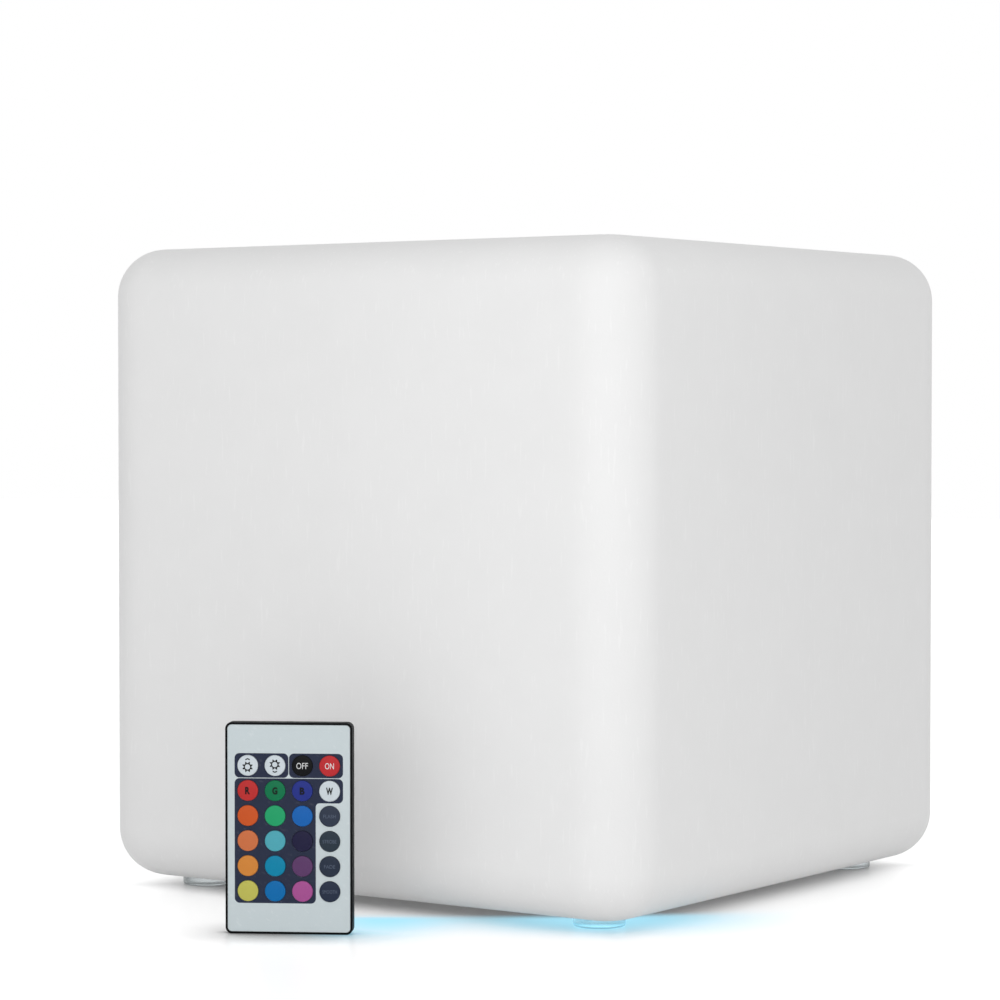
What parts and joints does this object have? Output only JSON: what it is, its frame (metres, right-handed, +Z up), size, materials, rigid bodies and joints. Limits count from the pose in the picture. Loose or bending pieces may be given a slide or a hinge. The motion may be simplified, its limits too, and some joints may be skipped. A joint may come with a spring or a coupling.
{
  "type": "led cube light",
  "caption": "Hollow white cube with rounded edges on short round feet, lit by a lamp unit screwed into its underside, with a flat infrared handset of round domed keys standing beside it.",
  "frame": {"origin": "centre of the cube's footprint, on the floor that its feet and the handset stand on", "axes": "+Z up; -Y is the cube's front, the face that the handset stands before; +X is the cube's right as seen from the front"},
  "size_m": [0.594, 0.7393, 0.6],
  "materials": {
    "shell_plastic": "satin white moulded polyethylene that light shines through",
    "foot_plastic": "clear soft plastic, slightly frosted",
    "dome_plastic": "frosted diffuser",
    "base_plastic": "fine moulded grain",
    "seal_rubber": "matt black",
    "insert_brass": "turned",
    "screw_steel": "plated",
    "battery_wrap": "shrunk film",
    "clamp_steel": "pressed sheet",
    "circuit_board": "solder mask",
    "led_board_white": "white solder mask on aluminium",
    "led_lens": "clear over a pale cup",
    "infrared_plastic": "dark red-black",
    "infrared_clear": "clear, faint blue",
    "socket_plastic": "moulded black",
    "nut_plastic": "moulded black",
    "switch_steel": "turned",
    "nut_steel": "plated",
    "button_steel": "brushed",
    "charge_lens": "clear red",
    "lead_red": "smooth insulation",
    "lead_grey": "smooth insulation",
    "lead_black": "smooth insulation",
    "handset_black": "moulded, fine satin",
    "overlay_grey": "printed film with a soft gloss",
    "mat_rubber": "silicone",
    "cell_steel": "bright",
    "contact_steel": "sprung strip",
    "key_brighter": "domed cap",
    "key_dimmer": "domed cap",
    "key_off": "domed cap",
    "key_on": "domed cap",
    "key_red": "domed cap",
    "key_green": "domed cap",
    "key_blue": "domed cap",
    "key_white": "domed cap",
    "key_vermilion": "domed cap",
    "key_mint": "domed cap",
    "key_azure": "domed cap",
    "key_flash": "domed cap",
    "key_orange": "domed cap",
    "key_cyan": "domed cap",
    "key_indigo": "domed cap",
    "key_strobe": "domed cap",
    "key_amber": "domed cap",
    "key_teal": "domed cap",
    "key_purple": "domed cap",
    "key_fade": "domed cap",
    "key_yellow": "domed cap",
    "key_sky": "domed cap",
    "key_pink": "domed cap",
    "key_smooth": "domed cap"
  },
  "bodies": {
    "cube": {"base_gasket": "seal_rubber", "base_screws": "screw_steel", "battery_clamp": "clamp_steel", "battery_lead": "lead_red", "battery_pack": "battery_wrap", "charge_light": "charge_lens", "charging_socket": "socket_plastic", "control_board": "circuit_board", "corner_feet": "foot_plastic", "cube_shell": "shell_plastic", "inner_screws": "screw_steel", "ir_receiver": "infrared_plastic", "lamp_base": "base_plastic", "led_board": "led_board_white", "led_lead": "lead_grey", "leds": "led_lens", "light_dome": "dome_plastic", "panel_leads": "lead_black", "power_switch": "switch_steel", "shell_inserts": "insert_brass", "socket_nut": "nut_plastic", "switch_nut": "nut_steel"},
    "power_button": {"power_button": "button_steel"},
    "socket_cover": {"socket_cover": "seal_rubber"},
    "handset": {"handset_back": "handset_black", "handset_front": "handset_black", "keypad_overlay": "overlay_grey", "contact_mat": "mat_rubber", "handset_board": "circuit_board", "ir_emitter": "infrared_clear", "coin_cell": "cell_steel", "cell_contacts": "contact_steel", "case_screws": "screw_steel"},
    "battery_cover": {"battery_cover": "handset_black"},
    "key_brighter": {"key_brighter": "key_brighter"},
    "key_dimmer": {"key_dimmer": "key_dimmer"},
    "key_off": {"key_off": "key_off"},
    "key_on": {"key_on": "key_on"},
    "key_red": {"key_red": "key_red"},
    "key_green": {"key_green": "key_green"},
    "key_blue": {"key_blue": "key_blue"},
    "key_white": {"key_white": "key_white"},
    "key_vermilion": {"key_vermilion": "key_vermilion"},
    "key_mint": {"key_mint": "key_mint"},
    "key_azure": {"key_azure": "key_azure"},
    "key_flash": {"key_flash": "key_flash"},
    "key_orange": {"key_orange": "key_orange"},
    "key_cyan": {"key_cyan": "key_cyan"},
    "key_indigo": {"key_indigo": "key_indigo"},
    "key_strobe": {"key_strobe": "key_strobe"},
    "key_amber": {"key_amber": "key_amber"},
    "key_teal": {"key_teal": "key_teal"},
    "key_purple": {"key_purple": "key_purple"},
    "key_fade": {"key_fade": "key_fade"},
    "key_yellow": {"key_yellow": "key_yellow"},
    "key_sky": {"key_sky": "key_sky"},
    "key_pink": {"key_pink": "key_pink"},
    "key_smooth": {"key_smooth": "key_smooth"}
  },
  "joints": [
    {"name": "base_button_press", "type": "slide", "parent": "cube", "child": "power_button", "axis": [0, 0, 1], "range_m": [0, 0.0015], "stiffness_N_per_m": 1500, "springref_m": -0.0003},
    {"name": "charging_cap_pull", "type": "slide", "parent": "cube", "child": "socket_cover", "axis": [0, 0, -1], "range_m": [0, 0.0065]},
    {"name": "handset_lift", "type": "slide", "parent": "cube", "child": "handset", "axis": [0, 0, 1], "range_m": [0, 0.3]},
    {"name": "battery_cover_turn", "type": "hinge", "parent": "handset", "child": "battery_cover", "pos_m": [0.023, -0.40288, 0.062], "axis": [-0.5, 0.866, 0], "range_deg": [0, 45]},
    {"name": "key_brighter_press", "type": "slide", "parent": "handset", "child": "key_brighter", "axis": [-0.5, 0.866, 0], "range_m": [0, 0.0008], "stiffness_N_per_m": 1200, "springref_m": -0.0002},
    {"name": "key_dimmer_press", "type": "slide", "parent": "handset", "child": "key_dimmer", "axis": [-0.5, 0.866, 0], "range_m": [0, 0.0008], "stiffness_N_per_m": 1200, "springref_m": -0.0002},
    {"name": "key_off_press", "type": "slide", "parent": "handset", "child": "key_off", "axis": [-0.5, 0.866, 0], "range_m": [0, 0.0008], "stiffness_N_per_m": 1200, "springref_m": -0.0002},
    {"name": "key_on_press", "type": "slide", "parent": "handset", "child": "key_on", "axis": [-0.5, 0.866, 0], "range_m": [0, 0.0008], "stiffness_N_per_m": 1200, "springref_m": -0.0002},
    {"name": "key_red_press", "type": "slide", "parent": "handset", "child": "key_red", "axis": [-0.5, 0.866, 0], "range_m": [0, 0.0008], "stiffness_N_per_m": 1200, "springref_m": -0.0002},
    {"name": "key_green_press", "type": "slide", "parent": "handset", "child": "key_green", "axis": [-0.5, 0.866, 0], "range_m": [0, 0.0008], "stiffness_N_per_m": 1200, "springref_m": -0.0002},
    {"name": "key_blue_press", "type": "slide", "parent": "handset", "child": "key_blue", "axis": [-0.5, 0.866, 0], "range_m": [0, 0.0008], "stiffness_N_per_m": 1200, "springref_m": -0.0002},
    {"name": "key_white_press", "type": "slide", "parent": "handset", "child": "key_white", "axis": [-0.5, 0.866, 0], "range_m": [0, 0.0008], "stiffness_N_per_m": 1200, "springref_m": -0.0002},
    {"name": "key_vermilion_press", "type": "slide", "parent": "handset", "child": "key_vermilion", "axis": [-0.5, 0.866, 0], "range_m": [0, 0.0008], "stiffness_N_per_m": 1200, "springref_m": -0.0002},
    {"name": "key_mint_press", "type": "slide", "parent": "handset", "child": "key_mint", "axis": [-0.5, 0.866, 0], "range_m": [0, 0.0008], "stiffness_N_per_m": 1200, "springref_m": -0.0002},
    {"name": "key_azure_press", "type": "slide", "parent": "handset", "child": "key_azure", "axis": [-0.5, 0.866, 0], "range_m": [0, 0.0008], "stiffness_N_per_m": 1200, "springref_m": -0.0002},
    {"name": "key_flash_press", "type": "slide", "parent": "handset", "child": "key_flash", "axis": [-0.5, 0.866, 0], "range_m": [0, 0.0008], "stiffness_N_per_m": 1200, "springref_m": -0.0002},
    {"name": "key_orange_press", "type": "slide", "parent": "handset", "child": "key_orange", "axis": [-0.5, 0.866, 0], "range_m": [0, 0.0008], "stiffness_N_per_m": 1200, "springref_m": -0.0002},
    {"name": "key_cyan_press", "type": "slide", "parent": "handset", "child": "key_cyan", "axis": [-0.5, 0.866, 0], "range_m": [0, 0.0008], "stiffness_N_per_m": 1200, "springref_m": -0.0002},
    {"name": "key_indigo_press", "type": "slide", "parent": "handset", "child": "key_indigo", "axis": [-0.5, 0.866, 0], "range_m": [0, 0.0008], "stiffness_N_per_m": 1200, "springref_m": -0.0002},
    {"name": "key_strobe_press", "type": "slide", "parent": "handset", "child": "key_strobe", "axis": [-0.5, 0.866, 0], "range_m": [0, 0.0008], "stiffness_N_per_m": 1200, "springref_m": -0.0002},
    {"name": "key_amber_press", "type": "slide", "parent": "handset", "child": "key_amber", "axis": [-0.5, 0.866, 0], "range_m": [0, 0.0008], "stiffness_N_per_m": 1200, "springref_m": -0.0002},
    {"name": "key_teal_press", "type": "slide", "parent": "handset", "child": "key_teal", "axis": [-0.5, 0.866, 0], "range_m": [0, 0.0008], "stiffness_N_per_m": 1200, "springref_m": -0.0002},
    {"name": "key_purple_press", "type": "slide", "parent": "handset", "child": "key_purple", "axis": [-0.5, 0.866, 0], "range_m": [0, 0.0008], "stiffness_N_per_m": 1200, "springref_m": -0.0002},
    {"name": "key_fade_press", "type": "slide", "parent": "handset", "child": "key_fade", "axis": [-0.5, 0.866, 0], "range_m": [0, 0.0008], "stiffness_N_per_m": 1200, "springref_m": -0.0002},
    {"name": "key_yellow_press", "type": "slide", "parent": "handset", "child": "key_yellow", "axis": [-0.5, 0.866, 0], "range_m": [0, 0.0008], "stiffness_N_per_m": 1200, "springref_m": -0.0002},
    {"name": "key_sky_press", "type": "slide", "parent": "handset", "child": "key_sky", "axis": [-0.5, 0.866, 0], "range_m": [0, 0.0008], "stiffness_N_per_m": 1200, "springref_m": -0.0002},
    {"name": "key_pink_press", "type": "slide", "parent": "handset", "child": "key_pink", "axis": [-0.5, 0.866, 0], "range_m": [0, 0.0008], "stiffness_N_per_m": 1200, "springref_m": -0.0002},
    {"name": "key_smooth_press", "type": "slide", "parent": "handset", "child": "key_smooth", "axis": [-0.5, 0.866, 0], "range_m": [0, 0.0008], "stiffness_N_per_m": 1200, "springref_m": -0.0002}
  ]
}
